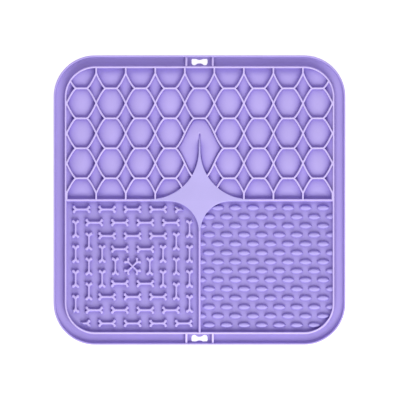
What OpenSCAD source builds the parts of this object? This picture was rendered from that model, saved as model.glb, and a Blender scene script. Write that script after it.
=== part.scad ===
// Lick mat: one square silicone moulding that holds soft food for a pet.
// A raised licking field carries a honeycomb, a bone pattern and rows of
// oval bumps, parted by a four-pointed star and its dividers. A sunken
// gutter and a round lip surround it, and suction cups stand underneath.
// Z is up, the cups rest on z = 0, and the honeycomb lies towards +Y.

/* [Mat] */
// Width over the outer lip
mat_w = 200; // [186:1:230]
// Depth over the outer lip
mat_d = 198.5; // [186:0.5:230]
// Outer corner radius
corner_r = 28.4; // [24:0.1:36]
// Thickness of the sheet under the licking field
sheet_t = 2.5; // [2:0.1:4]

/* [Lip and gutter] */
// Width of the outer lip
lip_w = 1.2; // [1:0.1:2.4]
// Height of the lip above the gutter's lowest line
lip_h = 3.5; // [2.2:0.1:4.5]
// From the outer edge to the middle of the inner frame
frame_inset = 8.15; // [7:0.05:10]
// Step from the licking field down to the gutter at the frame
gutter_step = 1.3; // [0.3:0.1:1.3]
// Fall of the gutter's floor from the frame to the lip
gutter_drop = 0.2; // [0:0.1:0.3]

/* [Ridges] */
// Width of the frame and honeycomb ridges
ridge_w = 1.3; // [1:0.1:2]
// Height of the ridges above the licking field
ridge_h = 3.7; // [2.6:0.1:5]
// Width of the dividers
divider_w = 1.5; // [1:0.1:2.2]

/* [Star] */
// Radius of the two hollow arcs above the horizontal divider
star_upper_r = 33.3; // [28:0.1:36]
// Radius of the two hollow arcs below it
star_lower_r = 20.5; // [16:0.1:24]
// Width of the star's upper spike
spike_w = 1.25; // [1:0.05:1.8]
// Length of the straight part of the spike
spike_len = 11; // [6:0.5:14]

/* [Honeycomb] */
// Cells across the mat, one of them on its middle line
hex_cells = 9; // [7:2:11]
// From the last cell's side corner to the middle of the frame
hex_end_gap = 0.725; // [0.7:0.005:1.2]
// Distance from cell to cell up the mat
hex_pitch_y = 20.54; // [19:0.02:21]
// Length of a cell's level ridge
hex_edge = 7.55; // [6:0.05:9]
// From the mat's centre to the first level ridge
hex_first_y = 15; // [12:0.1:17]
// From the dome on a cell's floor to the ridges beside it
dome_gap = 1; // [1:0.025:3]
// Height of that dome
dome_h = 1.7; // [0.6:0.1:2]
// Diameter of the wide dome round the spike
flame_dome_d = 35; // [30:0.5:38]
// Height of the wide dome
flame_dome_h = 2; // [1:0.1:2.4]

/* [Bones] */
// Distance between a bone's knobs along the bone
bone_len = 10.3; // [9:0.1:11]
// Distance between the two knobs at one end
bone_fork_w = 3.05; // [2.6:0.05:3.6]
// Diameter of a knob
bone_knob_d = 1.95; // [1.5:0.05:2.2]
// Width of a bone's shaft
bone_shaft_w = 1.35; // [1:0.05:1.8]
// Height of the bones
bone_h = 2.8; // [2:0.1:4]
// From the pattern's middle to its first ring
ring_first = 11.8; // [11:0.1:12.4]
// Distance from ring to ring
ring_pitch = 9.08; // [8.6:0.02:9.2]
// Distance from bone to bone across
bone_pitch_x = 17.5; // [16.5:0.1:18]
// Distance from bone to bone up the mat
bone_pitch_y = 17.1; // [16.5:0.1:18]
// From the middle between frame and divider up to the pattern's middle
bones_rise = 0.2; // [0:0.1:1]
// Distance that the bones keep from the ridges around them
bone_clear = 3.5; // [2:0.1:3.6]
// Distance between a crossed bone's knobs along the bone
cross_len = 11.2; // [10:0.1:12]

/* [Oval bumps] */
// Length of a bump
oval_l = 8.3; // [6:0.1:9]
// Width of a bump
oval_w = 4.4; // [3:0.1:4.6]
// Height of a bump
oval_h = 2.2; // [1.4:0.1:2.2]
// Distance from bump to bump across
oval_pitch_x = 12.02; // [11:0.02:14]
// From the vertical divider to the first bump's middle
oval_first_x = 0.5; // [0:0.1:4]
// From the horizontal divider to the first row
oval_first_y = 5.4; // [4.5:0.1:6]
// From the last row to the middle of the frame
oval_last_y = 5.4; // [5:0.1:7]

/* [Hang tabs] */
// Distance between the two ribs of a tab
tab_w = 18.1; // [16:0.1:24]
// Width of a rib
rib_w = 1.6; // [1:0.1:2]
// Length of the bone-shaped hole
hole_len = 11; // [9:0.1:13]
// Height of the hole's ends
hole_end_h = 5; // [4:0.1:5.2]
// Width of the hole's waist
hole_waist = 2.5; // [2:0.1:3]
// Radius of the hole's corners
hole_r = 1.5; // [1:0.1:1.8]

/* [Suction cups] */
// Cups in each row
cups_across = 6; // [4:1:7]
// Rim diameter of a cup
cup_d = 20; // [14:0.5:22]
// Height of a cup with its neck
cup_h = 3.8; // [3:0.1:5]
// Diameter of the neck
neck_d = 7; // [5:0.5:9]
// Length of the neck
neck_h = 1; // [0.5:0.1:1.4]
// Wall of a cup
cup_wall = 0.9; // [0.6:0.1:1.2]
// Width of a cup's flat rim
cup_rim = 0.5; // [0.3:0.1:1]
// From the outer edge to the nearest rim
cup_edge_gap = 8; // [5:0.5:12]

/* [Hidden] */
$fn = 64;
hex_rows = 5;
// The wide pocket takes the middle cell of this row and of the next
flame_row = 2;
bone_rings = 4;
oval_rows = 14;
cup_rows = 6;
// The pull that bows a slanted side out, in shares of half a cell
bow_x_share = 0.63;
bow_y_share = 0.815;
bow_steps = 4;
oval_steps = 12;
// Facets of the large balls that the domes are cut from
ball_fn = 256;
// Run of a cut past the face that it opens
over = 1;

half_w = mat_w / 2;
half_d = mat_d / 2;
underside_z = cup_h;
field_z = underside_z + sheet_t;
gutter_top_z = field_z - gutter_step;
gutter_z = gutter_top_z - gutter_drop;
lip_z = gutter_z + lip_h;
top_z = field_z + ridge_h;

// Half sizes of the frame's middle line, and insets of its two faces
frame_x = half_w - frame_inset;
frame_y = half_d - frame_inset;
field_inset = frame_inset + ridge_w / 2;
gutter_inset = frame_inset - ridge_w / 2;

hex_cols = (hex_cells - 1) / 2;
hex_pitch_x = 2 * (frame_x - hex_end_gap) / hex_cells;
hex_levels = floor((half_d - field_inset - hex_first_y) / hex_pitch_y);
oval_cols = ceil(frame_x / oval_pitch_x);
oval_pitch_y = (frame_y - oval_first_y - oval_last_y) / (oval_rows - 1);
dome_d = min(hex_pitch_x, hex_pitch_y) - ridge_w - 2 * dome_gap;
dome_ball_r = (pow(dome_d / 2, 2) + pow(dome_h, 2)) / (2 * dome_h);
flame_ball_r = (pow(flame_dome_d / 2, 2) + pow(flame_dome_h, 2)) / (2 * flame_dome_h);
star_x = spike_w / 2 + star_upper_r;
star_y = divider_w / 2 + star_upper_r;
star_low = divider_w / 2 + star_lower_r;

// Point lists

function flip(points, sx, sy) = [for (p = points) [sx * p.x, sy * p.y]];
function back(points) = [for (i = [len(points) - 1:-1:0]) points[i]];
function shift(points, by) = [for (p = points) p + by];
function tail(points) = [for (i = [1:len(points) - 1]) points[i]];
function head(points) = [for (i = [0:len(points) - 2]) points[i]];
function unit(v) = v / norm(v);
function normal(a, b) = let (u = unit(b - a)) [-u.y, u.x];

// A closed outline, drawn anticlockwise, with each side moved inwards by d
function inset(points, d) =
    let (n = len(points))
    [for (i = [0:n - 1])
        let (
            m1 = normal(points[(i + n - 1) % n], points[i]),
            m2 = normal(points[i], points[(i + 1) % n])
        )
        points[i] + d * (m1 + m2) / (1 + m1 * m2)];

// Four copies of a quarter outline that runs from +X round to +Y
function four_fold(q) = concat(
    head(q), back(tail(flip(q, -1, 1))),
    head(flip(q, -1, -1)), back(tail(flip(q, 1, -1)))
);

// Middle line of a cell's slanted side, from the side vertex up to the level ridge
hex_side = [for (i = [0:bow_steps])
    let (
        t = i / bow_steps,
        foot = [hex_pitch_x / 2, 0],
        pull = [bow_x_share * hex_pitch_x / 2, bow_y_share * hex_pitch_y / 2],
        end = [hex_edge / 2, hex_pitch_y / 2]
    )
    foot * pow(1 - t, 2) + pull * 2 * t * (1 - t) + end * pow(t, 2)];
// The same side of the neighbour, seen from the gap between four cells
gap_side = shift(flip(back(hex_side), -1, -1), [hex_pitch_x / 2, hex_pitch_y / 2]);
hex_line = concat(
    hex_side, back(flip(hex_side, -1, 1)),
    tail(flip(hex_side, -1, -1)), head(back(flip(hex_side, 1, -1)))
);
diamond_line = four_fold(gap_side);
flame_quarter = concat(
    shift(gap_side, [hex_pitch_x / 2, 0]),
    tail(shift(hex_side, [0, hex_pitch_y / 2]))
);
flame_line = concat(
    flame_quarter, back(flip(flame_quarter, -1, 1)),
    tail(flip(flame_quarter, -1, -1)), head(back(flip(flame_quarter, 1, -1)))
);
// A cell that runs on straight upwards to the frame, or down to the divider
open_line = concat(
    [[hex_pitch_x / 2, mat_d], [-hex_pitch_x / 2, mat_d]],
    flip(hex_side, -1, -1), back(flip(hex_side, 1, -1))
);

// Height of the level ridge k, counted up from the divider
function level_y(k) = hex_first_y + k * hex_pitch_y;
// Middle of the cells in row r, which has its level ridge r - 1 on top
function cell_y(r) = level_y(r - 1) - hex_pitch_y / 2;
// Rows past the last level ridge end at the frame
top_row = hex_levels + 2;
flame_y = level_y(flame_row - 1);
function last_cells(r) = r == hex_rows ? max(r, top_row) : r;

// Flat regions

module rounded_box(hx, hy, r) {
    square([2 * hx, 2 * (hy - r)], center = true);
    square([2 * (hx - r), 2 * hy], center = true);
    for (sx = [-1, 1], sy = [-1, 1])
        translate([sx * (hx - r), sy * (hy - r)]) circle(r);
}

// The mat's outline, moved inwards by d
module mat_shape(d) {
    rounded_box(half_w - d, half_d - d, corner_r - d);
}

// One hollow-sided quarter of the star, its arc grown by d
module star_corner(sx, sy, gap_x, r, d) {
    scale([sx, sy]) translate([gap_x, divider_w / 2]) difference() {
        square(r);
        translate([r, r]) circle(r - d);
    }
}

module star_shape(d = 0) {
    for (sx = [-1, 1]) {
        star_corner(sx, 1, spike_w / 2, star_upper_r, d);
        star_corner(sx, -1, divider_w / 2, star_lower_r, d);
    }
    square([2 * star_x, divider_w], center = true);
    translate([-divider_w / 2, -star_low]) square([divider_w, star_low]);
    translate([-spike_w / 2, 0]) square([spike_w, star_y + spike_len]);
}

// The field between the frame, the dividers and the star, above or below
module upper_field() {
    difference() {
        intersection() {
            mat_shape(field_inset);
            translate([-half_w, divider_w / 2]) square([mat_w, half_d]);
        }
        star_shape();
    }
}

module lower_field(side, d = 0) {
    edge = divider_w / 2 + d;
    difference() {
        intersection() {
            mat_shape(field_inset + d);
            translate([side > 0 ? edge : -half_w, -half_d]) square([half_w - edge, half_d - edge]);
        }
        star_shape(d);
    }
}

// Sweeps a profile round the mat, its X axis pointing outwards from the edge's corner arcs
module round_the_mat() {
    straight_x = half_w - corner_r;
    straight_y = half_d - corner_r;
    for (side = [0, 180]) rotate(side) {
        translate([0, straight_y, 0])
            rotate([90, 0, 90]) translate([0, 0, -straight_x]) linear_extrude(2 * straight_x) children();
        translate([straight_x, 0, 0])
            rotate([90, 0, 0]) translate([0, 0, -straight_y]) linear_extrude(2 * straight_y) children();
        translate([straight_x, straight_y, 0]) rotate_extrude(angle = 90) children();
        translate([-straight_x, straight_y, 0]) rotate(90) rotate_extrude(angle = 90) children();
    }
}

// A ridge's section with a round top, d inwards from the outer edge
module ridge_section(d, w, z0, z1) {
    translate([corner_r - d - w / 2, z0]) square([w, z1 - z0 - w / 2]);
    translate([corner_r - d, z1 - w / 2]) circle(d = w);
}

// Sheet, gutter and lip

module base_sheet() {
    color("mediumpurple")
        translate([0, 0, underside_z]) linear_extrude(sheet_t) mat_shape(gutter_inset);
}

module gutter_ring() {
    round_the_mat() polygon([
        [corner_r - gutter_inset, underside_z],
        [corner_r - lip_w, underside_z],
        [corner_r - lip_w, gutter_z],
        [corner_r - gutter_inset, gutter_top_z]
    ]);
}

module tab_block(side, w) {
    translate([-w / 2, side > 0 ? 0 : -half_d, 0]) cube([w, half_d, top_z]);
}

module gutter_half(side) {
    color("mediumpurple") intersection() {
        gutter_ring();
        translate([side > 0 ? tab_w / 2 - rib_w / 2 : -half_w, -half_d, 0])
            cube([half_w - tab_w / 2 + rib_w / 2, mat_d, top_z]);
    }
}

module outer_lip() {
    color("thistle") round_the_mat() ridge_section(lip_w / 2, lip_w, underside_z, lip_z);
}

module inner_frame() {
    color("plum") round_the_mat() ridge_section(frame_inset, ridge_w, field_z, top_z);
}

// Hang tabs

module bone_hole() {
    knob_x = hole_len / 2 - hole_r;
    knob_y = hole_end_h / 2 - hole_r;
    for (sx = [-1, 1]) scale([sx, 1]) {
        for (sy = [-1, 1]) translate([knob_x, sy * knob_y]) circle(hole_r);
        translate([knob_x - hole_r, -knob_y]) square([2 * hole_r, 2 * knob_y]);
        polygon([
            [0, -hole_waist / 2], [knob_x, -hole_end_h / 2],
            [knob_x, hole_end_h / 2], [0, hole_waist / 2]
        ]);
    }
}

// Middle of the gutter, where the holes lie
hole_y = half_d - (lip_w + gutter_inset) / 2;

module hang_tab(side) {
    color("mediumpurple") difference() {
        intersection() {
            gutter_ring();
            tab_block(side, tab_w - rib_w);
        }
        translate([0, side * hole_y, underside_z - over])
            linear_extrude(sheet_t + 2 * over) bone_hole();
    }
}

// The ribs stand on the gutter and fall from the frame's top to the lip's
module tab_ribs(side) {
    color("plum") for (sx = [-1, 1])
        translate([sx * tab_w / 2, 0, 0]) rotate([90, 0, 90])
            translate([0, 0, -rib_w / 2]) linear_extrude(rib_w) polygon([
                [side * (half_d - gutter_inset), gutter_top_z],
                [side * (half_d - lip_w), gutter_z],
                [side * (half_d - lip_w), lip_z - lip_w / 2],
                [side * (half_d - gutter_inset), top_z - ridge_w / 2]
            ]);
}

// Star and dividers

module raised(h) {
    translate([0, 0, field_z]) linear_extrude(h) children();
}

module centre_star() {
    color("plum") raised(ridge_h) star_shape();
}

module divider_side(side) {
    color("plum") raised(ridge_h)
        translate([side > 0 ? star_x : -(half_w - field_inset), -divider_w / 2])
            square([half_w - field_inset - star_x, divider_w]);
}

module divider_down() {
    color("plum") raised(ridge_h)
        translate([-divider_w / 2, -(half_d - field_inset)])
            square([divider_w, half_d - field_inset - star_low]);
}

// Honeycomb

// Lower edge of row r, under the level ridge that the row stands on
function row_foot(r) = r == 1 ? 0 : level_y(r - 2) - ridge_w / 2;
function row_head(r) = r == hex_rows ? half_d : level_y(r - 1) - ridge_w / 2;
function is_flame_row(r) = r == flame_row || r == flame_row + 1;
function in_flame(column, r) = column == 0 && is_flame_row(r);

module row_band(r) {
    translate([-half_w, row_foot(r)]) square([mat_w, row_head(r) - row_foot(r)]);
}

module pocket(x, y, line) {
    translate([x, y]) polygon(inset(line, ridge_w / 2));
}

module cell_pockets(r) {
    for (c = [-hex_cols:hex_cols])
        if (!in_flame(c, r))
            pocket(
                c * hex_pitch_x, cell_y(r),
                r >= top_row ? open_line : r == 1 ? back(flip(open_line, 1, -1)) : hex_line
            );
}

// The diamond gaps along level ridge k
module gap_pockets(k) {
    for (c = [-hex_cols - 1:hex_cols])
        if (k != flame_row - 1 || (c != -1 && c != 0))
            pocket((c + 1 / 2) * hex_pitch_x, level_y(k), diamond_line);
}

module honeycomb_row(r) {
    color("plum") raised(ridge_h) difference() {
        intersection() {
            upper_field();
            row_band(r);
        }
        for (row = [r:last_cells(r)]) {
            cell_pockets(row);
            gap_pockets(row - 1);
        }
        if (r > 1) gap_pockets(r - 2);
        if (is_flame_row(r)) pocket(0, flame_y, flame_line);
    }
}

module cap(x, y, ball_r, h) {
    translate([x, y, field_z + h - ball_r]) sphere(ball_r, $fn = ball_fn);
}

module hex_domes_row(r) {
    color("lavender") intersection() {
        for (row = [r:last_cells(r)], c = [-hex_cols:hex_cols])
            if (!in_flame(c, row)) cap(c * hex_pitch_x, cell_y(row), dome_ball_r, dome_h);
        raised(dome_h) upper_field();
    }
}

module flame_dome() {
    color("lavender") intersection() {
        cap(0, flame_y, flame_ball_r, flame_dome_h);
        raised(flame_dome_h) difference() {
            pocket(0, flame_y, flame_line);
            star_shape();
        }
    }
}

// Bones

bones_x = -frame_x / 2;
bones_y = bones_rise - frame_y / 2;

module limb(a, b, w) {
    along = b - a;
    translate(a) rotate(atan2(along.y, along.x))
        translate([0, -w / 2]) square([norm(along), w]);
    translate(a) circle(d = w);
    translate(b) circle(d = w);
}

module bone(length = bone_len) {
    fork = (length - bone_fork_w) / 2;
    limb([-fork, 0], [fork, 0], bone_shaft_w);
    for (sx = [-1, 1], sy = [-1, 1]) {
        tip = [sx * length / 2, sy * bone_fork_w / 2];
        limb([sx * fork, 0], tip, bone_shaft_w);
        translate(tip) circle(d = bone_knob_d);
    }
}

module crossed_bones() {
    color("plum") raised(bone_h) translate([bones_x, bones_y]) for (turn = [45, 135])
        rotate(turn) bone(cross_len);
}

// Ring k has k + 1 bones along its top and bottom and k at each side
module bone_ring(k) {
    reach = ring_first + (k - 1) * ring_pitch;
    color("plum") raised(bone_h) intersection() {
        translate([bones_x, bones_y]) for (side = [-1, 1]) {
            for (i = [0:k])
                translate([(i - k / 2) * bone_pitch_x, side * reach]) bone();
            for (i = [1:k])
                translate([side * reach, (i - (k + 1) / 2) * bone_pitch_y]) rotate(90) bone();
        }
        lower_field(-1, bone_clear);
    }
}

// Oval bumps

// Half of a bump's section, turned about its long axis
oval_half = [for (i = [0:oval_steps])
    [oval_w / 2 * sin(180 * i / oval_steps), -oval_l / 2 * cos(180 * i / oval_steps)]];

module oval_row(r) {
    stagger = r % 2 == 0 ? oval_pitch_x / 2 : 0;
    color("lavender") intersection() {
        for (c = [0:oval_cols])
            translate([
                oval_first_x + stagger + c * oval_pitch_x,
                -oval_first_y - (r - 1) * oval_pitch_y,
                field_z + oval_h - oval_w / 2
            ]) rotate([0, 90, 0]) rotate_extrude() polygon(oval_half);
        raised(oval_h) lower_field(1);
    }
}

// Suction cups

module cup() {
    bell_z = cup_h - neck_h;
    rotate_extrude() polygon([
        [0, bell_z - cup_wall],
        [neck_d / 2, bell_z - cup_wall],
        [cup_d / 2 - cup_rim, 0],
        [cup_d / 2, 0],
        [neck_d / 2, bell_z],
        [neck_d / 2, cup_h],
        [0, cup_h]
    ]);
}

module cup_row(r) {
    reach_x = half_w - cup_edge_gap - cup_d / 2;
    reach_y = half_d - cup_edge_gap - cup_d / 2;
    color("mediumpurple") for (i = [0:cups_across - 1])
        translate([
            (2 * i / (cups_across - 1) - 1) * reach_x,
            (1 - 2 * (r - 1) / (cup_rows - 1)) * reach_y
        ]) cup();
}

base_sheet();
gutter_half(-1);  // gutter_left
gutter_half(1);  // gutter_right
outer_lip();
inner_frame();
hang_tab(1);  // hang_tab_top
hang_tab(-1);  // hang_tab_bottom
tab_ribs(1);  // tab_ribs_top
tab_ribs(-1);  // tab_ribs_bottom
centre_star();
divider_side(-1);  // divider_left
divider_side(1);  // divider_right
divider_down();
for (r = [1:hex_rows]) {
    honeycomb_row(r);
    hex_domes_row(r);
}
flame_dome();
crossed_bones();
for (k = [1:bone_rings])
    bone_ring(k);
for (r = [1:oval_rows])
    oval_row(r);
for (r = [1:cup_rows])
    cup_row(r);
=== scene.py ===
"""Lick mat. Gives the moulded zones of the CAD frame their rounded ridges, domes, bumps and cups, and
lights the mat from above as photographed. Lengths are in millimetres until a mesh is made."""
import math
from functools import partial

import bmesh
import bpy
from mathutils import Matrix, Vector


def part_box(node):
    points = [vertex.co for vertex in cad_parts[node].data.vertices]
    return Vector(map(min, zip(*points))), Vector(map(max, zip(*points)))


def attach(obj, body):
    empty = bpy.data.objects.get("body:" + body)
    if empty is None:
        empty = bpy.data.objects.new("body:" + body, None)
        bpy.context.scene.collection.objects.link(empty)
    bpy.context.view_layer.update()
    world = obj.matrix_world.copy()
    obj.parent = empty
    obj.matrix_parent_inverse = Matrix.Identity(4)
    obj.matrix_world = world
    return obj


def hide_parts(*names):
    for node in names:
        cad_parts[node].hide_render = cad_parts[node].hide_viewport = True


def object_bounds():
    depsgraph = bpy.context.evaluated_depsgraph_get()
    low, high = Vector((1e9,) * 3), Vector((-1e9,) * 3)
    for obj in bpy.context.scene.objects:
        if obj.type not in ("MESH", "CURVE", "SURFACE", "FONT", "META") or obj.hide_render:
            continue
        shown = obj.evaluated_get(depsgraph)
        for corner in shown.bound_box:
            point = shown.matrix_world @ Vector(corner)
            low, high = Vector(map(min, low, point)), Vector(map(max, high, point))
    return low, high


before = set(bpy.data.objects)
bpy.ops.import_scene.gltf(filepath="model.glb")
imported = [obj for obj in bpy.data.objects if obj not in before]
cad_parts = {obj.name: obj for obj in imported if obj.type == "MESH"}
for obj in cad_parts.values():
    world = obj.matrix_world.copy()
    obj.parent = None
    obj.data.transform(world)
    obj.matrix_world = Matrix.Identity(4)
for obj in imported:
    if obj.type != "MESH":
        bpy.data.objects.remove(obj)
frame_low, frame_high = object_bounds()

MM = 0.001


def in_mm(corner):
    """A box's corner in millimetres, rounded to the micrometre."""
    return [round(value / MM, 3) for value in corner]


# Sizes of the mat: its half width and depth and its height, and the sheet's two faces, from the frame
HALF_W, HALF_D, TOP_Z = in_mm(frame_high)
UNDER_Z, FIELD_Z = (in_mm(corner)[2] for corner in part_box("base_sheet"))

# The other sizes are as in the CAD. Heights of the gutter's floor beside the frame and beside the lip
GUTTER_HIGH_Z, GUTTER_LOW_Z = 5.0, 4.8
# The lip's top and width, and the radius of the mat's corners
LIP_Z = 8.3
LIP_W = 1.2
CORNER_R = 28.4
# From the mat's edge to the middle of the frame's ridge
FRAME_INSET = 8.15
# Half the width of each kind of ridge
RIDGE_HALF = 0.65
DIVIDER_HALF = 0.75
SPIKE_HALF = 0.625
RIB_HALF = 0.8
# From the mat's middle to a tab's ribs
TAB_HALF = 9.05
# Radii of the star's upper and lower flanks, and the length of the spike above them
STAR_UP, STAR_LOW = 33.3, 20.5
SPIKE_LONG = 11
# Honeycomb: distances between cells, length of a level ridge, place of the lowest one, and how many
# columns lie on each side of the middle one
PITCH_X, PITCH_Y = 20.25, 20.54
HEX_EDGE = 7.55
HEX_FIRST_Y = 15.0
HEX_COLS, HEX_ROWS = 4, 5

# Sizes that follow from these
GUTTER_INSET = FRAME_INSET - RIDGE_HALF
FRAME_X, FRAME_Y = HALF_W - FRAME_INSET, HALF_D - FRAME_INSET
FRAME_R = CORNER_R - FRAME_INSET
STAR_X = SPIKE_HALF + STAR_UP
STAR_Y = DIVIDER_HALF + STAR_UP
SPIKE_END = STAR_Y + SPIKE_LONG

# Sections of a ridge's and a bone's wall: distance outwards from its face, and the part of its height
# above the field
WALL = [(-0.7, 1.0), (-0.43, 0.998), (-0.27, 0.988), (-0.15, 0.965), (-0.08, 0.93), (-0.04, 0.87),
        (-0.015, 0.75), (0.005, 0.4), (0.025, 0.16), (0.06, 0.06), (0.13, 0.022), (0.24, 0.007),
        (0.42, 0.003), (0.57, 0.003)]
BONE_WALL = [(-0.45, 1.0), (-0.3, 0.99), (-0.17, 0.96), (-0.08, 0.91), (-0.02, 0.84), (0.02, 0.6),
             (0.045, 0.3), (0.08, 0.12), (0.15, 0.045), (0.26, 0.012), (0.4, 0.003), (0.5, 0.003)]


# Materials

WHITE = (1, 1, 1, 1)
# Painted light: the gutter's tone is painted lighter than the field's, and the ridges' tone is a painted
# glow on their tops
GUTTER_PAINTED_TONE = (0.475, 0.405, 0.77)
FIELD_TONE = (0.41, 0.35, 0.76)
RIDGE_PAINTED_GLOW = (0.75, 0.67, 1.0)
# Painted shade: what the colour is multiplied by deep in a nook
NOOK_PAINTED_SHADE = (0.68, 0.6, 0.73)
# The field's tone holds from just below the field to a little above it
FIELD_BAND = (FIELD_Z - 0.1, FIELD_Z + 0.6)


def add_node(tree, kind, sockets=None, **settings):
    """A new shader node with its settings, and then the values of its sockets by name."""
    node = tree.nodes.new("ShaderNode" + kind)
    for name, value in settings.items():
        setattr(node, name, value)
    for name, value in (sockets or {}).items():
        node.inputs[name].default_value = value
    return node


def silicone(name, crest, painted_nook_shade=NOOK_PAINTED_SHADE, painted_shade_reach=2.2, top=TOP_Z, field=FIELD_TONE):
    """Soft satin silicone: one purple that turns into the crest's tone at the height top, with a fine
    grain. The crest's paler tone is a painted glow. painted_nook_shade is painted shade: what its colour
    is multiplied by deep in a nook, where walls stand within painted_shade_reach."""
    mat = bpy.data.materials.new(name)
    mat.use_nodes = True
    tree = mat.node_tree
    link = tree.links.new
    shader = tree.nodes["Principled BSDF"]
    shader.inputs["Roughness"].default_value = 0.5
    shader.inputs["Specular IOR Level"].default_value = 0.5
    place = add_node(tree, "TexCoord").outputs["Object"]

    # Painted light by height: from the gutter's tone, painted lighter than the field, over the field's to
    # the crest's, a painted glow on the tops
    where = add_node(tree, "SeparateXYZ")
    link(place, where.inputs["Vector"])
    rise = add_node(tree, "MapRange", {"From Min": GUTTER_LOW_Z * MM, "From Max": top * MM})
    link(where.outputs["Z"], rise.inputs["Value"])
    tone = add_node(tree, "ValToRGB")
    stops = tone.color_ramp.elements
    stops[0].color = (*GUTTER_PAINTED_TONE, 1)
    stops[1].color = (*crest, 1)
    for z in FIELD_BAND:
        stop = stops.new((z - GUTTER_LOW_Z) / (top - GUTTER_LOW_Z))
        stop.color = (*field, 1)
    link(rise.outputs["Result"], tone.inputs["Fac"])

    # Painted shade: the colour is darkened and deepened in the nooks, where the walls close round a point
    occlusion = add_node(tree, "AmbientOcclusion", {"Distance": painted_shade_reach * MM}, samples=8)
    depth = add_node(tree, "Mix", {"A": (*painted_nook_shade, 1), "B": WHITE}, data_type="RGBA")
    link(occlusion.outputs["AO"], depth.inputs["Factor"])
    shaded_tone = add_node(tree, "VectorMath", operation="MULTIPLY")
    link(tone.outputs["Color"], shaded_tone.inputs[0])
    link(depth.outputs["Result"], shaded_tone.inputs[1])

    # Clouds that are barely lighter or darker
    cloud = add_node(tree, "TexNoise", {"Scale": 45, "Detail": 3})
    link(place, cloud.inputs["Vector"])
    drift = add_node(tree, "MapRange", {"From Min": 0.3, "From Max": 0.7, "To Min": 0.97, "To Max": 1.03})
    link(cloud.outputs["Fac"], drift.inputs["Value"])
    mottle = add_node(tree, "VectorMath", operation="SCALE")
    link(shaded_tone.outputs["Vector"], mottle.inputs["Vector"])
    link(drift.outputs["Result"], mottle.inputs["Scale"])
    link(mottle.outputs["Vector"], shader.inputs["Base Color"])

    grain = add_node(tree, "TexNoise", {"Scale": 2500, "Detail": 2})
    link(place, grain.inputs["Vector"])
    bump = add_node(tree, "Bump", {"Strength": 0.12, "Distance": 0.1 * MM})
    link(grain.outputs["Fac"], bump.inputs["Height"])
    link(bump.outputs["Normal"], shader.inputs["Normal"])
    return mat


# Painted glow: the thin ridges' tops are painted the palest, as if light shone through them. These
# materials are one silicone whose crest, field and nook colours differ only as painted light and shade
SILICONE = silicone("silicone", RIDGE_PAINTED_GLOW)
COMB_SILICONE = silicone("silicone_comb", (0.76, 0.69, 1.0), painted_nook_shade=(0.76, 0.68, 0.8), painted_shade_reach=6)
DIVIDER_SILICONE = silicone("silicone_divider", (0.69, 0.6, 1.0))
RIB_SILICONE = silicone("silicone_rib", RIDGE_PAINTED_GLOW, top=LIP_Z)
BUMP_SILICONE = silicone("silicone_bump", (0.59, 0.54, 0.9), painted_nook_shade=(0.58, 0.53, 0.66))
FIELD_SILICONE = silicone("silicone_field", RIDGE_PAINTED_GLOW, painted_nook_shade=(0.45, 0.34, 0.58), painted_shade_reach=3.5,
                          field=(0.445, 0.39, 0.75))
BROAD_SILICONE = silicone("silicone_broad", (0.59, 0.55, 0.89))


# Meshes

# Points this close together become one
WELD = 0.004
BONE_WELD = 0.0005


class Shape:
    """Vertices in millimetres and faces, gathered for one piece."""

    def __init__(self):
        self.verts = []
        self.faces = []

    def row(self, points):
        """Adds points and gives their numbers."""
        start = len(self.verts)
        self.verts.extend(points)
        return list(range(start, start + len(points)))

    def bridge(self, a, b, closed=False):
        """Quads between two rows of the same length. b lies to the left of a, seen from outside."""
        n = len(a)
        for i in range(n if closed else n - 1):
            j = (i + 1) % n
            self.faces.append((a[i], a[j], b[j], b[i]))

    def loft(self, rows, closed=False):
        """Quads between rows of points, in turn. The first and the last row stay open."""
        made = [self.row(points) for points in rows]
        for a, b in zip(made, made[1:]):
            self.bridge(a, b, closed)
        return made

    def face(self, ids):
        """One face round the points with these numbers."""
        self.faces.append(tuple(ids))


def trim(bm, planes):
    """Cuts off what lies outside the convex region that the planes (point, outward normal) bound."""
    for (x, y), out in planes:
        bmesh.ops.bisect_plane(
            bm, geom=bm.verts[:] + bm.edges[:] + bm.faces[:],
            plane_co=(x * MM, y * MM, 0), plane_no=(*out, 0), clear_outer=True)


def make(shape, name, node, planes=(), weld=WELD, sharp=50, material=SILICONE):
    """Turns a shape into a piece that stands for a CAD node. planes bound the zone that it may fill,
    and an edge that turns by more than sharp, in degrees, is shaded as one."""
    mesh = bpy.data.meshes.new(name)
    mesh.from_pydata([(x * MM, y * MM, z * MM) for x, y, z in shape.verts], [], shape.faces)
    bm = bmesh.new()
    bm.from_mesh(mesh)
    bmesh.ops.remove_doubles(bm, verts=bm.verts, dist=weld * MM)
    trim(bm, planes)
    bmesh.ops.delete(bm, geom=[v for v in bm.verts if not v.link_faces], context="VERTS")
    bm.to_mesh(mesh)
    bm.free()
    mesh.polygons.foreach_set("use_smooth", [True] * len(mesh.polygons))
    mesh.set_sharp_from_angle(angle=math.radians(sharp))
    mesh.materials.append(material)
    piece = bpy.data.objects.new(name, mesh)
    bpy.context.collection.objects.link(piece)
    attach(piece, "root")
    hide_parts(node)


# Plane figures

# Sides of a cut outline that are shorter than this are left out
SHORTEST_SIDE = 0.12
# A point this little past a plane counts as on it
TOUCH = 1e-6
# Keeps a sharp corner from moving far: 1 plus the cosine of its turn counts as no less than this
MITRE = 0.12
FRAME_FACETS, STAR_FACETS = 16, 24


def arc(cx, cy, r, a0, a1, steps):
    """Points on a circle from angle a0 to a1, in degrees."""
    turn = [math.radians(a0 + (a1 - a0) * i / steps) for i in range(steps + 1)]
    return [(cx + r * math.cos(t), cy + r * math.sin(t)) for t in turn]


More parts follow.
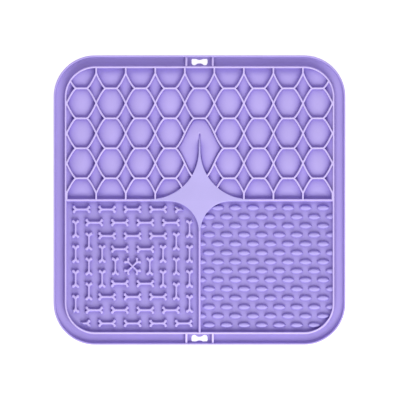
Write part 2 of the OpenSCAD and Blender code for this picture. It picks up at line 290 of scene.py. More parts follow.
def bend(a, b, c, steps):
    """Points on a curve from a to c that sets out towards b and arrives from there."""
    line = []
    for i in range(steps + 1):
        t = i / steps
        line.append(tuple(p * (1 - t) ** 2 + 2 * q * t * (1 - t) + r * t * t for p, q, r in zip(a, b, c)))
    return line


def unit(x, y):
    """A vector of length 1."""
    length = math.hypot(x, y)
    return x / length, y / length


def flip(points, sx, sy):
    """Points mirrored where a sign is -1."""
    return [(sx * x, sy * y) for x, y in points]


def shift(points, dx, dy):
    return [(x + dx, y + dy) for x, y in points]


def turned(points, degrees, dx, dy):
    """Points turned round the middle and then shifted."""
    c, s = math.cos(math.radians(degrees)), math.sin(math.radians(degrees))
    return [(x * c - y * s + dx, x * s + y * c + dy) for x, y in points]


def inset(points, d):
    """A closed outline, drawn anticlockwise, with each side moved inwards by d."""
    n = len(points)
    moved = []
    for i in range(n):
        (ax, ay), (bx, by), (cx, cy) = points[i - 1], points[i], points[(i + 1) % n]
        ux, uy = unit(bx - ax, by - ay)
        vx, vy = unit(cx - bx, cy - by)
        nx, ny, mx, my = -uy, ux, -vy, vx
        k = d / max(1 + nx * mx + ny * my, MITRE)
        moved.append((bx + k * (nx + mx), by + k * (ny + my)))
    return moved


def clip(points, planes):
    """The part of an outline inside the planes, and a flag for each of its sides: True where the side
    comes from the outline, and False where it lies along a plane."""
    own = [True] * len(points)
    for (px, py), (ox, oy) in planes:
        gaps = [(x - px) * ox + (y - py) * oy for x, y in points]
        if max(gaps) <= TOUCH:
            continue
        kept, flags = [], []
        for i, gap in enumerate(gaps):
            j = (i + 1) % len(points)
            (ax, ay), (bx, by) = points[i], points[j]
            if gap <= 0:
                kept.append(points[i])
                flags.append(own[i])
            if (gap < 0 < gaps[j]) or (gaps[j] < 0 < gap):
                t = gap / (gap - gaps[j])
                kept.append((ax + t * (bx - ax), ay + t * (by - ay)))
                flags.append(False if gap < 0 else own[i])
            elif gap == 0 and gaps[j] > 0:
                flags[-1] = False
        points, own = kept, flags
        if len(points) < 3:
            return [], []
    kept = [i for i, p in enumerate(points) if math.dist(p, points[(i + 1) % len(points)]) > SHORTEST_SIDE]
    return [points[i] for i in kept], [own[i] for i in kept]


def area(points):
    """Area inside an outline, positive where it is drawn anticlockwise."""
    return sum(a[0] * b[1] - b[0] * a[1] for a, b in zip(points, points[1:] + points[:1])) / 2


def within(points, x, y):
    """Whether a point lies inside an outline."""
    odd = False
    for (ax, ay), (bx, by) in zip(points, points[1:] + points[:1]):
        if (ay > y) != (by > y) and x < ax + (y - ay) * (bx - ax) / (by - ay):
            odd = not odd
    return odd


def segment_gap(x, y, a, b):
    """Distance of a point from the straight line between a and b."""
    ux, uy = b[0] - a[0], b[1] - a[1]
    t = max(0.0, min(1.0, ((x - a[0]) * ux + (y - a[1]) * uy) / (ux * ux + uy * uy)))
    return math.hypot(x - a[0] - t * ux, y - a[1] - t * uy)


def smooth_step(x):
    """A soft rise from 0 at x = 0 to 1 at x = 1."""
    x = max(0.0, min(1.0, x))
    return x * x * (3 - 2 * x)


def corner_planes(cx, cy, r, middle, steps):
    """Tangents of the quarter of a circle round the angle middle, which bound a region from outside."""
    planes = []
    for i in range(steps + 1):
        t = math.radians(middle - 45 + 90 * i / steps)
        planes.append(((cx + r * math.cos(t), cy + r * math.sin(t)), (math.cos(t), math.sin(t))))
    return planes


def frame_planes(d, sx, sy):
    """The frame's middle line moved inwards by d, round the corner in quarter (sx, sy)."""
    cx, cy = sx * (FRAME_X - FRAME_R), sy * (FRAME_Y - FRAME_R)
    return corner_planes(cx, cy, FRAME_R - d, math.degrees(math.atan2(sy, sx)), FRAME_FACETS)


def star_planes(d, sx, sy, radius):
    """Beside the star: its arc in quarter (sx, sy), moved off the star by d."""
    half = SPIKE_HALF if sy > 0 else DIVIDER_HALF
    cx, cy = sx * (half + radius), sy * (DIVIDER_HALF + radius)
    return corner_planes(cx, cy, radius - d, math.degrees(math.atan2(-sy, -sx)), STAR_FACETS)


# The honeycomb's and the ovals' zones right of the middle
UPPER_RIGHT = frame_planes(0, 1, 1) + star_planes(-RIDGE_HALF, 1, 1, STAR_UP)
LOWER_RIGHT = frame_planes(0, 1, -1) + star_planes(-RIDGE_HALF, 1, -1, STAR_LOW)
RIGHT_OF_MIDDLE = [((0.0, 0.0), (-1.0, 0.0))]


# Honeycomb

# A slanted side bows towards this part of the way to the cell's corner
BOW_X, BOW_Y = 0.63, 0.815
BOW_STEPS = 8
# A pocket that is open towards the frame runs on to here from its middle, past the frame
BEYOND = 40.0
# A level ridge between two rows belongs to the upper one
ROW_SLACK = 0.3
# A pocket with less area, in square millimetres, is filled up to the ridges' tops
SMALLEST_POCKET = 8
# In the middle column, the star and the wide pocket stand in for the rows before this one
FIRST_MIDDLE_ROW = 4
# The wide pocket stands in for the gaps beside the middle at this level ridge, counted from 0
FLAME_LEVEL = 1
FLAME_Y = HEX_FIRST_Y + FLAME_LEVEL * PITCH_Y


def four_fold(quarter, level_ends):
    """A closed outline from its upper right quarter. level_ends is True where a level side crosses the
    middle at its top and bottom, and False where it has a corner there."""
    first = 0 if level_ends else 1
    return (quarter + flip(quarter, -1, 1)[::-1][first:] + flip(quarter, -1, -1)[1:]
            + flip(quarter, 1, -1)[::-1][first:-1])


# Middle line of a cell's slanted side, from the side corner up to the level ridge
SIDE = bend((PITCH_X / 2, 0), (BOW_X * PITCH_X / 2, BOW_Y * PITCH_Y / 2), (HEX_EDGE / 2, PITCH_Y / 2),
            BOW_STEPS)
GAP_SIDE = shift(flip(SIDE, -1, -1)[::-1], PITCH_X / 2, PITCH_Y / 2)
HEX = four_fold(SIDE, level_ends=True)
DIAMOND = four_fold(GAP_SIDE, level_ends=False)
FLAME = four_fold(shift(GAP_SIDE, PITCH_X / 2, 0) + shift(SIDE, 0, PITCH_Y / 2)[1:], level_ends=True)
OPEN_UP = [(PITCH_X / 2, BEYOND), (-PITCH_X / 2, BEYOND)] + flip(SIDE, -1, -1) + flip(SIDE, 1, -1)[::-1]
OPEN_DOWN = flip(OPEN_UP, 1, -1)[::-1]


def cell_y(row):
    """Height of the middle of a row up the mat."""
    return HEX_FIRST_Y + (row - 1.5) * PITCH_Y


def ridge_row(y):
    """Row whose node the ridge at height y belongs to."""
    return min(HEX_ROWS, max(1, 2 + math.floor((y + ROW_SLACK - HEX_FIRST_Y) / PITCH_Y)))


def cells():
    """(outline, column, row) of each pocket right of the middle, and of those on it. The diamond
    gaps lie half-way between two rows."""
    for r in range(1, HEX_ROWS + 1):
        line = OPEN_DOWN if r == 1 else OPEN_UP if r == HEX_ROWS else HEX
        for c in range(0 if r >= FIRST_MIDDLE_ROW else 1, HEX_COLS + 2):
            yield shift(line, c * PITCH_X, cell_y(r)), c, r
    for k in range(HEX_ROWS - 1):
        for c in range(1 if k == FLAME_LEVEL else 0, HEX_COLS + 1):
            yield shift(DIAMOND, (c + 0.5) * PITCH_X, HEX_FIRST_Y + k * PITCH_Y), c + 0.5, k + 1.5


def pockets():
    """Each pocket's outline inside the zone, the flags of its own sides, its column and its row."""
    for line, column, row in cells():
        outline, own = clip(line, UPPER_RIGHT if column else frame_planes(0, 1, 1))
        if len(outline) > 2:
            yield outline, own, column, row


def wall_point(p, share, foot=FIELD_Z, top=TOP_Z):
    """The point over p at a share of the way from a wall's foot to its top."""
    return p[0], p[1], foot + (top - foot) * share


def add_pocket(rows, points, own):
    """Lofts the walls of one pocket down from the ridges' middle lines to the floor."""
    if area(points) < SMALLEST_POCKET:
        shape = rows[ridge_row(sum(y for _, y in points) / len(points))]
        shape.face(shape.row([wall_point(p, 1.0) for p in points]))
        return
    rings = [inset(points, RIDGE_HALF + out) for out, _ in WALL]
    for i, is_ridge in enumerate(own):
        if is_ridge:
            j = (i + 1) % len(points)
            shape = rows[ridge_row((points[i][1] + points[j][1]) / 2)]
            shape.loft([[wall_point(ring[i], share), wall_point(ring[j], share)]
                        for ring, (_, share) in zip(rings, WALL)])


def mirrored(points, own):
    """An outline left of the middle for one right of it, with the flags of its own sides."""
    n = len(points)
    return flip(points, -1, 1)[::-1], [own[(n - 2 - i) % n] for i in range(n)]


def flame_pocket():
    """Outline of the wide pocket round the spike, and the flags of its own sides. Its right half is cut
    beside the star and in the middle, freed of the points on the middle, and then mirrored."""
    half, own = clip(shift(FLAME, 0, FLAME_Y), UPPER_RIGHT + RIGHT_OF_MIDDLE)
    # The outline is made to start at the top of the middle, so that the right side stays in one run
    start = max(range(len(half)), key=lambda i: half[i][1] - half[i][0])
    half, own = half[start:] + half[:start], own[start:] + own[:start]
    off_middle = [i for i, (x, _) in enumerate(half) if x > TOUCH]
    right = [half[i] for i in off_middle]
    flags = [own[i] for i in off_middle[:-1]]
    return right + flip(right, -1, 1)[::-1], flags + [True] + flags[::-1] + [False]


FLAME_OUTLINE, FLAME_OWN = flame_pocket()

wall_rows = {r: Shape() for r in range(1, HEX_ROWS + 1)}
for outline, own, column, row in pockets():
    add_pocket(wall_rows, outline, own)
    if column:
        add_pocket(wall_rows, *mirrored(outline, own))
add_pocket(wall_rows, FLAME_OUTLINE, FLAME_OWN)
for r, shape in wall_rows.items():
    make(shape, f"honeycomb_{r}", f"honeycomb_row_{r}", material=COMB_SILICONE)


# Domes on the cells' floors

# How far from its middle a dome would sink to the field, to the side and up the mat, and its height
DOME = (9.8, 15.5, 1.8)
END_DOME = (9.8, 9.5, 1.4)
GAP_SWELL = (5.2, 30.0, 1.1)
# How far the domes in the first and the last row lie towards the middle of the zone
END_SHIFT = 3.45
DOME_SHARES = (1.0, 0.97, 0.92, 0.85, 0.75, 0.62, 0.47, 0.3, 0.14)
# A dome reaches this far under the walls, and its edge lies this much over the field
DOME_TUCK = 0.1
DOME_LIFT = 0.05


def dome(shape, outline, cx, cy, size):
    """A swelling that fills a pocket up to its walls and is highest in the middle (cx, cy)."""
    rx, ry, height = size
    edge = inset(outline, RIDGE_HALF - DOME_TUCK)
    mx, my = cx, cy
    if not within(edge, cx, cy):
        mx = sum(x for x, _ in edge) / len(edge)
        my = sum(y for _, y in edge) / len(edge)
    rings = []
    for share in DOME_SHARES:
        ring = []
        for x, y in edge:
            x, y = mx + share * (x - mx), my + share * (y - my)
            fall = min(1.0, ((x - cx) / rx) ** 2 + ((y - cy) / ry) ** 2)
            ring.append((x, y, FIELD_Z + DOME_LIFT + height * (1 - fall)))
        rings.append(ring)
    made = shape.loft(rings, closed=True)
    shape.face(made[-1])


dome_rows = {r: Shape() for r in range(1, HEX_ROWS + 1)}
for outline, _, column, row in pockets():
    if area(outline) < SMALLEST_POCKET:
        continue
    x, y = column * PITCH_X, cell_y(row)
    size = DOME if row == int(row) else GAP_SWELL
    if row in (1, HEX_ROWS):
        y += END_SHIFT if row == 1 else -END_SHIFT
        size = END_DOME
    shape = dome_rows[math.ceil(row)]
    dome(shape, outline, x, y, size)
    if column:
        dome(shape, flip(outline, -1, 1)[::-1], -x, y, size)
for r, shape in dome_rows.items():
    make(shape, f"domes_{r}", f"hex_domes_row_{r}", material=COMB_SILICONE)


# Floor of the wide pocket

# The star's spike runs on past its end, and over this length it sinks to nothing
SPIKE_RUN_OUT = 1.5
SPIKE_SINK = 11
# Grid over the pocket: its step, and how many steps it has to each side of the middle
FLAME_STEP = 0.7
FLAME_NX, FLAME_NY = 25, 31
FLAME_H = 2.1
FLAME_SUNK = 0.05
# Heights below the field: of what lies outside the pocket, and from where faces are left out
OUTSIDE_DEPTH, DROP_DEPTH = 0.3, 0.2
# A valley: the part of its height that the swell loses there, and how far it reaches
SPIKE_VALLEY = (0.75, 3.2)
WALL_VALLEY = (0.45, 2.5)


def star_gap(x, y):
    """Distance from the star's upper arcs and spike."""
    x = abs(x)
    if y < STAR_Y:
        return STAR_UP - math.hypot(x - STAR_X, y - STAR_Y)
    if y < SPIKE_END:
        return x - SPIKE_HALF
    return math.hypot(x, y - SPIKE_END) - SPIKE_HALF


def spike_share(y):
    """Part of its height that the star's spike still has at y. It sinks towards its tip."""
    return smooth_step((SPIKE_END + SPIKE_RUN_OUT - y) / SPIKE_SINK)


def valley(gap, depth, reach):
    """Part of its height that the swell keeps at a distance from what it falls to."""
    return 1 - depth * math.exp(-gap / reach)


def flame_walls(inner):
    """The pocket's sides in groups: the four bowed walls, and the level one at the top."""
    walls = {}
    for own, a, b in zip(FLAME_OWN, inner, inner[1:] + inner[:1]):
        if own:
            level = abs(a[1] - b[1]) < TOUCH
            group = "top" if level else (a[0] + b[0] > 0, (a[1] + b[1]) / 2 > FLAME_Y)
            walls.setdefault(group, []).append((a, b))
    return walls.values()


def flame_floor():
    """Two long swells beside the spike that meet above it and fall to the pocket's corners."""
    inner = inset(FLAME_OUTLINE, RIDGE_HALF)
    walls = flame_walls(inner)
    lines = []
    for j in range(-FLAME_NY, FLAME_NY + 1):
        line = []
        for i in range(-FLAME_NX, FLAME_NX + 1):
            x, y = i * FLAME_STEP, FLAME_Y + j * FLAME_STEP
            off_star = star_gap(x, y)
            if off_star <= 0 or not within(inner, x, y):
                line.append((x, y, FIELD_Z - OUTSIDE_DEPTH))
                continue
            rise = valley(off_star, SPIKE_VALLEY[0] * spike_share(y), SPIKE_VALLEY[1])
            for sides in walls:
                rise *= valley(min(segment_gap(x, y, a, b) for a, b in sides), *WALL_VALLEY)
            line.append((x, y, FIELD_Z - FLAME_SUNK + FLAME_H * rise))
        lines.append(line)
    shape = Shape()
    shape.loft(lines)
    shape.faces = [f for f in shape.faces if max(shape.verts[i][2] for i in f) > FIELD_Z - DROP_DEPTH]
    return shape


make(flame_floor(), "flame_swell", "flame_dome", sharp=80, material=COMB_SILICONE)


# Star and dividers

STAR_STEPS = 28
SPIKE_STEPS = 16
# The flanks' innermost line, short of the spike's middle
STAR_INNERMOST = -0.6
# The spike starts this far inside the star and stands this much over it
SPIKE_OVERLAP = 0.02
FULL_HEIGHT = ((TOP_Z, FIELD_Z), (TOP_Z, FIELD_Z))


def profile(half):
    """The wall's section from the middle of a ridge of that half width outwards."""
    return [(0.0, WALL[0][1])] + [(half + out, share) for out, share in WALL[1:]]


def straight_ridge(shape, a, b, half, heights=FULL_HEIGHT):
    """A ridge from a to b with both its flanks. heights are its top's and its foot's at even steps."""
    ux, uy = unit(b[0] - a[0], b[1] - a[1])
    section = profile(half)
    lines = []
    for d, share in [(-d, share) for d, share in section[::-1]] + section[1:]:
        line = []
        for i, (top, foot) in enumerate(heights):
            t = i / (len(heights) - 1)
            place = (a[0] + t * (b[0] - a[0]) + d * uy, a[1] + t * (b[1] - a[1]) - d * ux)
            line.append(wall_point(place, share, foot, top))
        lines.append(line)
    shape.loft(lines)


def star():
    """The flat star with four curved flanks, and the spike that leads on from its upper point."""
    shape = Shape()
    crest = {}
    for sx, sy in ((1, 1), (1, -1), (-1, 1), (-1, -1)):
        half, radius = (SPIKE_HALF, STAR_UP) if sy > 0 else (DIVIDER_HALF, STAR_LOW)
        rings = []
        for out, share in WALL:
            out = max(out, STAR_INNERMOST)
            run = arc(half + radius, DIVIDER_HALF + radius, radius - out, 180, 270, STAR_STEPS)
            if sy < 0:
                run.append((STAR_X, DIVIDER_HALF + out))
            rings.append([wall_point((sx * x, sy * y), share) for x, y in run])
        if sx * sy < 0:
            rings = [ring[::-1] for ring in rings]
        crest[sx, sy] = shape.loft(rings)[0]
    top = crest[1, 1] + crest[1, -1] + crest[-1, -1] + crest[-1, 1]
    shape.face(top[::-1])

    low, high = STAR_Y - SPIKE_OVERLAP, SPIKE_END + SPIKE_RUN_OUT
    heights = []
    for i in range(SPIKE_STEPS + 1):
        share = spike_share(low + (high - low) * i / SPIKE_STEPS)
        heights.append((FIELD_Z + (TOP_Z - FIELD_Z) * share + SPIKE_OVERLAP, FIELD_Z))
    straight_ridge(shape, (0, low), (0, high), SPIKE_HALF, heights)
    return shape


make(star(), "star", "centre_star", material=BROAD_SILICONE)
for name, a, b in (("divider_left", (-FRAME_X, 0), (-STAR_X, 0)),
                   ("divider_right", (STAR_X, 0), (FRAME_X, 0)),
                   ("divider_down", (0, -DIVIDER_HALF - STAR_LOW), (0, -FRAME_Y))):
    ridge = Shape()
    straight_ridge(ridge, a, b, DIVIDER_HALF)
    make(ridge, name + "_ridge", name, material=DIVIDER_SILICONE)


# Frame, lip and gutter

CORNER_STEPS = 20
# The gutter's floor runs on this far under the lip and the frame
GUTTER_TUCK = 0.3
# Under each rib it meets the tab
TAB_EDGE = TAB_HALF - 0.4
# The lip's soft foot: distance inwards from its inner face, and height over the gutter
LIP_FOOT = [(1.35, 0.01), (1.1, 0.03), (0.8, 0.12), (0.52, 0.34), (0.3, 0.7), (0.18, 1.2), (0.1, 1.9)]
LIP_R = 0.45
LIP_STEPS = 5
# The lip's rounded lower edge: distance inwards from the mat's edge, and height over the underside
LIP_EDGE = [(0.0, 1.2), (0.03, 0.5), (0.16, 0.2), (0.38, 0.05), (0.7, 0.0), (LIP_W, 0.0)]


def gutter_top(s):
    """Height of the gutter's floor at s inwards from the outer edge."""
    return GUTTER_LOW_Z + (GUTTER_HIGH_Z - GUTTER_LOW_Z) * (s - LIP_W) / (GUTTER_INSET - LIP_W)


def round_line(s):
    """The line at s inwards from the outer edge, anticlockwise from the middle of the right side."""
    hx, hy, r = HALF_W - s, HALF_D - s, CORNER_R - s
    line = [(hx, 0.0)]
    for sx, sy, start in ((1, 1, 0), (-1, 1, 90), (-1, -1, 180), (1, -1, 270)):
        line += arc(sx * (hx - r), sy * (hy - r), r, start, start + 90, CORNER_STEPS)
    return line


def side_line(s, side):
    """Half of that line on one side, between the tabs, anticlockwise."""
    line = [p for p in round_line(s)[1:] if side * p[0] > 0]
    top, bottom = (side * TAB_EDGE, HALF_D - s), (side * TAB_EDGE, s - HALF_D)
    if side < 0:
        return [top] + line + [bottom]
    lower = [p for p in line if p[1] < 0]
    upper = [p for p in line if p[1] > 0]
    return [bottom] + lower + upper + [top]


def sweep(*sections, lines=round_line, closed=True):
    """Sections carried along the mat's edge. Each is a list of (distance inwards, height), and it goes
    outwards on the upper side and inwards underneath."""
    shape = Shape()
    for section in sections:
        shape.loft([[(x, y, z) for x, y in lines(s)] for s, z in section], closed)
    return shape


def frame_section():
    """From the field over the frame's ridge and down to the gutter."""
    inner = [(FRAME_INSET + d, FIELD_Z + (TOP_Z - FIELD_Z) * share) for d, share in profile(RIDGE_HALF)]
    outer = []
    for d, share in profile(RIDGE_HALF)[1:]:
        foot = gutter_top(FRAME_INSET - d)
        outer.append((FRAME_INSET - d, foot + (TOP_Z - foot) * share))
    return inner[::-1] + outer


def lip_section():
    """From the gutter over the lip's round top and down to the underside."""
    section = [(LIP_W + s, gutter_top(LIP_W + s) + rise) for s, rise in LIP_FOOT]
    section += arc(LIP_W - LIP_R, LIP_Z - LIP_R, LIP_R, 0, 90, LIP_STEPS)
    section += arc(LIP_R, LIP_Z - LIP_R, LIP_R, 90, 180, LIP_STEPS)
    return section + [(s, UNDER_Z + rise) for s, rise in LIP_EDGE]


make(sweep(frame_section()), "frame_ridge", "inner_frame")
make(sweep(lip_section()), "lip", "outer_lip")

gutter_floor = [(s, gutter_top(s)) for s in (GUTTER_INSET + GUTTER_TUCK, LIP_W - GUTTER_TUCK)]
gutter_under = [(LIP_W, UNDER_Z), (GUTTER_INSET, UNDER_Z)]
for side, node in ((-1, "gutter_left"), (1, "gutter_right")):
    trough = sweep(gutter_floor, gutter_under, lines=partial(side_line, side=side), closed=False)
    make(trough, node + "_floor", node)


# Bones

BONE_H = 2.8
BONES_RISE = 0.2
BONES_X, BONES_Y = -FRAME_X / 2, BONES_RISE - FRAME_Y / 2
BONE_RINGS = 4
RING_FIRST, RING_PITCH = 11.8, 9.08
BONE_PITCH_X, BONE_PITCH_Y = 17.5, 17.1
# Distances that bones keep from the frame's ridge, and from the star and the dividers
FRAME_CLEAR, STAR_CLEAR = 3.5, 3.0
BONE_ZONE = frame_planes(RIDGE_HALF + FRAME_CLEAR, -1, -1) + star_planes(STAR_CLEAR, -1, -1, STAR_LOW)
# The upper of the crossed bones stands this much higher, so that their tops don't share a plane
CROSS_LIFT = 0.002
# A bone's neck between shaft and knob is rounded over this length to each side
NECK = 0.8
NECK_STEPS, KNOB_STEPS = 4, 12


def bone_outline(half, fork, tip, knob, notch_x):
    """A bone's outline, anticlockwise. half is half its shaft's width, fork where the ends part,
    tip the middle of a knob, knob its radius and notch_x how far the notch at an end lies out."""
    lean = math.atan2(tip[1], tip[0] - fork)
    root = (fork - half * math.tan(lean / 2), half)
    neck_end = (root[0] + NECK * math.cos(lean), root[1] + NECK * math.sin(lean))
    quarter = bend((root[0] - NECK, half), root, neck_end, NECK_STEPS)
    knob_start = lean + math.pi - math.asin(half / knob)
    to_tip = math.atan2(tip[1], tip[0] - notch_x)
    knob_end = to_tip - math.asin(knob / math.hypot(tip[0] - notch_x, tip[1])) - math.pi / 2
    quarter += arc(*tip, knob, math.degrees(knob_start), math.degrees(knob_end), KNOB_STEPS)
    quarter.append((notch_x, 0.0))
    back = quarter[::-1]
    return back + flip(quarter, -1, 1)[:-1] + flip(back, -1, -1) + flip(quarter, 1, -1)[:-1]


def add_bone(shape, outline, height, planes=None):
    """A raised bone with soft edges. planes bound the zone that it may fill."""
    if planes:
        outline, _ = clip(outline, planes)
    if not outline:
        return
    rings = [[wall_point(p, share, FIELD_Z, FIELD_Z + height) for p in inset(outline, -out)]
             for out, share in BONE_WALL[::-1]]
    made = shape.loft(rings, closed=True)
    shape.face(made[-1])


BONE = bone_outline(half=0.65, fork=3.625, tip=(5.15, 1.55), knob=1.0, notch_x=4.9)
CROSS = bone_outline(half=0.6, fork=4.05, tip=(5.6, 1.5), knob=0.95, notch_x=5.3)

for k in range(1, BONE_RINGS + 1):
    reach = RING_FIRST + (k - 1) * RING_PITCH
    bones = Shape()
    for side in (-1, 1):
        for i in range(k + 1):
            x = BONES_X + (i - k / 2) * BONE_PITCH_X
            add_bone(bones, turned(BONE, 0, x, BONES_Y + side * reach), BONE_H, BONE_ZONE)
        for i in range(k):
            y = BONES_Y + (i - (k - 1) / 2) * BONE_PITCH_Y
            add_bone(bones, turned(BONE, 90, BONES_X + side * reach, y), BONE_H, BONE_ZONE)
    make(bones, f"bones_{k}", f"bone_ring_{k}", weld=BONE_WELD)

bones = Shape()
for turn, lift in ((45, 0), (135, CROSS_LIFT)):
    add_bone(bones, turned(CROSS, turn, BONES_X, BONES_Y), BONE_H + lift)
make(bones, "bones_crossed", "crossed_bones", weld=BONE_WELD)


# Oval bumps

# Half a bump's length and width, and its height
OVAL_LONG, OVAL_WIDE, OVAL_H = 4.2, 1.75, 2.2
OVAL_STEPS = 36
OVAL_ROWS, OVAL_COLS = 14, 8
OVAL_FIRST_X, OVAL_FIRST_Y = 0.5, -5.3
OVAL_END_GAP = 5.4
OVAL_PITCH_X = 12.02
OVAL_PITCH_Y = (FRAME_Y - 2 * OVAL_END_GAP) / (OVAL_ROWS - 1)
# Section of a bump: share of its width, and share of its height
OVAL_SECTION = [(1.12, 0.003), (1.05, 0.02), (1.01, 0.09), (0.985, 0.24), (0.95, 0.4), (0.9, 0.54),
                (0.83, 0.68), (0.74, 0.8), (0.62, 0.9), (0.47, 0.965), (0.25, 1.0)]


def oval(shape, cx, cy):
    """A long low bump with a soft foot."""
    circle = arc(0, 0, 1, 0, 360, OVAL_STEPS)[:-1]
    rings = []
    for share, rise in OVAL_SECTION:
        spread = (share - 1) * OVAL_WIDE
        long, wide = OVAL_LONG + spread, OVAL_WIDE + spread
        rings.append([(cx + long * x, cy + wide * y, FIELD_Z + OVAL_H * rise) for x, y in circle])
    made = shape.loft(rings, closed=True)
    shape.face(made[-1])


for r in range(1, OVAL_ROWS + 1):
    bumps = Shape()
    first_x = OVAL_FIRST_X + (OVAL_PITCH_X / 2 if r % 2 == 0 else 0)
    for c in range(OVAL_COLS):
        oval(bumps, first_x + c * OVAL_PITCH_X, OVAL_FIRST_Y - (r - 1) * OVAL_PITCH_Y)
    make(bumps, f"ovals_{r}", f"oval_row_{r}", planes=LOWER_RIGHT, material=BUMP_SILICONE)


# Hang tabs

# The round corner of the hole: its middle and radius. Then the points from there to the waist
HOLE_CORNER = (3.7, 0.7, 1.75)
HOLE_CORNER_TURN, HOLE_CORNER_STEPS = 105, 8
HOLE_SIDE = [(2.75, 2.22), (2.3, 1.88), (1.85, 1.55), (1.35, 1.32), (0.7, 1.2), (0.0, 1.17)]
# The hole's rounded upper edge: distance outwards from the hole, and height over the floor
HOLE_EDGE = [(0.3, 0.0), (0.15, -0.04), (0.05, -0.14), (0.0, -0.3)]
# The width and height of the slanted lower edge
HOLE_BEVEL = 0.2
HOLE_Y = HALF_D - (LIP_W + GUTTER_INSET) / 2
# A rib falls from the frame towards the lip, in even steps
RIB_HIGH_Z, RIB_LOW_Z = 9.55, 7.7
RIB_FROM, RIB_TO = FRAME_INSET - 0.1, LIP_W / 2
RIB_STEPS = 6


def hole_outline():
    """Bone-shaped: two rounded ends joined by slanting sides to a narrow waist."""
    quarter = arc(*HOLE_CORNER, 0, HOLE_CORNER_TURN, HOLE_CORNER_STEPS) + HOLE_SIDE
    return quarter + flip(quarter, -1, 1)[-2::-1] + flip(quarter, -1, -1) + flip(quarter, 1, -1)[-2::-1]


HOLE = hole_outline()


def fill_between(shape, outer, inner):
    """Triangles between two closed lines of points, one round the other."""
    bm = bmesh.new()
    edges = []
    for line in (outer, inner):
        verts = [bm.verts.new(p) for p in line]
        edges += [bm.edges.new(ends) for ends in zip(verts, verts[1:] + verts[:1])]
    bmesh.ops.triangle_fill(bm, edges=edges, use_beauty=True)
    bm.verts.index_update()
    ids = shape.row([tuple(v.co) for v in bm.verts])
    for triangle in bm.faces:
        shape.face(ids[v.index] for v in triangle.verts)
    bm.free()


def hang_tab(sy):
    """The gutter's floor between the ribs, with a bone-shaped hole through it. sy is 1 at the top of the
    mat and -1 at the bottom."""

    def hole(grown):
        return shift(inset(HOLE, -grown), 0, HOLE_Y)

    def on_floor(line, rise=0.0):
        return [(x, sy * y, gutter_top(HALF_D - y) + rise) for x, y in line]

    def level(line, z):
        return [(x, sy * y, z) for x, y in line]

    near, far = HALF_D - GUTTER_INSET, HALF_D - LIP_W
    outer = [(TAB_EDGE, far), (-TAB_EDGE, far), (-TAB_EDGE, near), (TAB_EDGE, near)]
    shape = Shape()
    fill_between(shape, on_floor(outer), on_floor(hole(HOLE_EDGE[0][0])))
    fill_between(shape, level(outer, UNDER_Z), level(hole(HOLE_BEVEL), UNDER_Z))
    rings = [on_floor(hole(grown), rise) for grown, rise in HOLE_EDGE]
    rings.append(level(hole(0), UNDER_Z + HOLE_BEVEL))
    rings.append(level(hole(HOLE_BEVEL), UNDER_Z))
    shape.loft(rings, closed=True)
    return shape


rib_heights = []
for i in range(RIB_STEPS + 1):
    s = RIB_FROM + (RIB_TO - RIB_FROM) * i / RIB_STEPS
    share = (s - LIP_W) / (GUTTER_INSET - LIP_W)
    rib_heights.append((RIB_LOW_Z + (RIB_HIGH_Z - RIB_LOW_Z) * share, gutter_top(s)))

for sy, name in ((1, "top"), (-1, "bottom")):
    make(hang_tab(sy), f"tab_{name}", f"hang_tab_{name}", sharp=60)
    ribs = Shape()
    for x in (-TAB_HALF, TAB_HALF):
        straight_ridge(ribs, (x, sy * (HALF_D - RIB_FROM)), (x, sy * (HALF_D - RIB_TO)), RIB_HALF,
                       rib_heights)
    make(ribs, f"ribs_{name}", f"tab_ribs_{name}", material=RIB_SILICONE)


# Suction cups

CUPS = 6
CUP_INSET = 18
CUP_STEPS = 40
# Radius and height from the neck out to the rim, and back inside to the middle of the hollow
CUP_SECTION = [(4.3, 3.8), (3.75, 3.6), (3.5, 3.2), (3.6, 2.9), (4.3, 2.55), (5.8, 1.85), (7.6, 1.05),
               (9.2, 0.42), (9.8, 0.24), (10.0, 0.12), (9.9, 0.02), (9.6, 0.0), (9.2, 0.12), (7.8, 0.55),
               (6.0, 1.15), (4.2, 1.6), (2.4, 1.83), (0.9, 1.9)]


def cup(shape, cx, cy):
    """A round cup below the sheet."""
    rings = [[(x, y, z) for x, y in arc(cx, cy, r, 360, 0, CUP_STEPS)[1:]] for r, z in CUP_SECTION]
    made = shape.loft(rings, closed=True)
    shape.face(made[-1])


def spread(i, half):
    """Place of cup i in a row or column that reaches from -half to half."""
    return (2 * i / (CUPS - 1) - 1) * half


for r in range(CUPS):
    cups = Shape()
    for c in range(CUPS):
        cup(cups, spread(c, HALF_W - CUP_INSET), -spread(r, HALF_D - CUP_INSET))
    make(cups, f"cups_{r + 1}", f"cup_row_{r + 1}")

# The CAD's sheet stays and gets the field's silicone, with its deeper painted shade in the nooks
sheet = bpy.data.objects["base_sheet"]
sheet.data.materials.clear()
sheet.data.materials.append(FIELD_SILICONE)


# Light, floor and camera

# Strength and tint of the world's light on the mat, as if it had gone through silicone first
WORLD_LEVEL = 0.34
WORLD_TINT = (0.7, 0.52, 1.0, 1)
FLOOR_TONE = (0.85, 0.85, 0.85, 1)
# Glow that camera and glossy rays see on the floor, over the light that falls on it
FLOOR_GLOW = 0.8
# The floor's half width and its depth below the cups, in metres
FLOOR_REACH, FLOOR_DEPTH = 1.5, 0.0001
# One pixel of the photograph, its width in pixels, and how many of them the camera stands off the mat's
# middle
PIXEL = 0.6853
PHOTO_WIDTH = 400
CAMERA_X, CAMERA_Y = 0.45, 0.1
# Its height over the floor, in metres
CAMERA_Z = 1.0


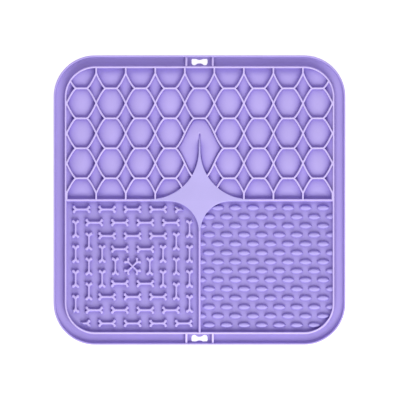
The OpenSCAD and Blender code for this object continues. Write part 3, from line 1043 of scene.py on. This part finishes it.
def soft_box(name, turn, height, far, wide, tall, power):
    """A white panel: its direction (degrees from +X), its height above the floor in degrees, its
    distance from the mat and its size in metres, and its power in watts."""
    lamp = bpy.data.lights.new(name, "AREA")
    lamp.shape = "RECTANGLE"
    lamp.size, lamp.size_y = wide, tall
    lamp.energy = power
    holder = bpy.data.objects.new(name, lamp)
    turn, height = math.radians(turn), math.radians(height)
    out = Vector((math.cos(turn) * math.cos(height), math.sin(turn) * math.cos(height), math.sin(height)))
    holder.location = out * far
    holder.rotation_euler = (-out).to_track_quat("-Z", "Y").to_euler()
    bpy.context.collection.objects.link(holder)


def either_ray(tree, first, second):
    """A socket that is 1 for the two kinds of rays, as Light Path names them, and 0 for all others."""
    path = add_node(tree, "LightPath")
    either = add_node(tree, "Math", operation="MAXIMUM")
    tree.links.new(path.outputs[first], either.inputs[0])
    tree.links.new(path.outputs[second], either.inputs[1])
    return either.outputs["Value"]


def pale_world():
    """A white background round a dimmer light on the mat."""
    world = bpy.data.worlds.new("world")
    bpy.context.scene.world = world
    world.use_nodes = True
    tree = world.node_tree
    background = tree.nodes["Background"]
    seen = either_ray(tree, "Is Camera Ray", "Is Transmission Ray")
    level = add_node(tree, "MapRange", {"To Min": WORLD_LEVEL, "To Max": 1.0})
    tree.links.new(seen, level.inputs["Value"])
    tint = add_node(tree, "Mix", {"A": WORLD_TINT, "B": WHITE}, data_type="RGBA")
    tree.links.new(seen, tint.inputs["Factor"])
    tree.links.new(tint.outputs["Result"], background.inputs["Color"])
    tree.links.new(level.outputs["Result"], background.inputs["Strength"])


def floor():
    """A white floor that camera rays see at full white outside the mat's shadow."""
    mesh = bpy.data.meshes.new("floor")
    corners = [(sx * FLOOR_REACH, sy * FLOOR_REACH, 0) for sx, sy in ((-1, -1), (1, -1), (1, 1), (-1, 1))]
    mesh.from_pydata(corners, [], [(0, 1, 2, 3)])
    plane = bpy.data.objects.new("floor", mesh)
    plane.location.z = -FLOOR_DEPTH
    bpy.context.collection.objects.link(plane)
    mat = bpy.data.materials.new("floor_white")
    mat.use_nodes = True
    tree = mat.node_tree
    shader = tree.nodes["Principled BSDF"]
    shader.inputs["Base Color"].default_value = FLOOR_TONE
    shader.inputs["Roughness"].default_value = 0.9
    gain = add_node(tree, "Math", operation="MULTIPLY")
    gain.inputs[1].default_value = FLOOR_GLOW
    tree.links.new(either_ray(tree, "Is Camera Ray", "Is Glossy Ray"), gain.inputs[0])
    glow = add_node(tree, "Emission")
    tree.links.new(gain.outputs["Value"], glow.inputs["Strength"])
    both = add_node(tree, "AddShader")
    tree.links.new(shader.outputs["BSDF"], both.inputs[0])
    tree.links.new(glow.outputs["Emission"], both.inputs[1])
    tree.links.new(both.outputs["Shader"], tree.nodes["Material Output"].inputs["Surface"])
    mesh.materials.append(mat)


def camera_above():
    """A camera that looks straight down and sees the photograph's frame."""
    camera = bpy.data.cameras.new("camera")
    camera.type = "ORTHO"
    camera.ortho_scale = PHOTO_WIDTH * PIXEL * MM
    holder = bpy.data.objects.new("camera", camera)
    holder.location = (CAMERA_X * PIXEL * MM, CAMERA_Y * PIXEL * MM, CAMERA_Z)
    bpy.context.collection.objects.link(holder)
    bpy.context.scene.camera = holder


soft_box("front_box", turn=-76, height=40, far=1.0, wide=0.75, tall=0.8, power=9.8)
soft_box("back_box", turn=92, height=45, far=0.45, wide=0.225, tall=0.43, power=0.56)
pale_world()
floor()
camera_above()
bpy.context.scene.view_settings.view_transform = "Standard"
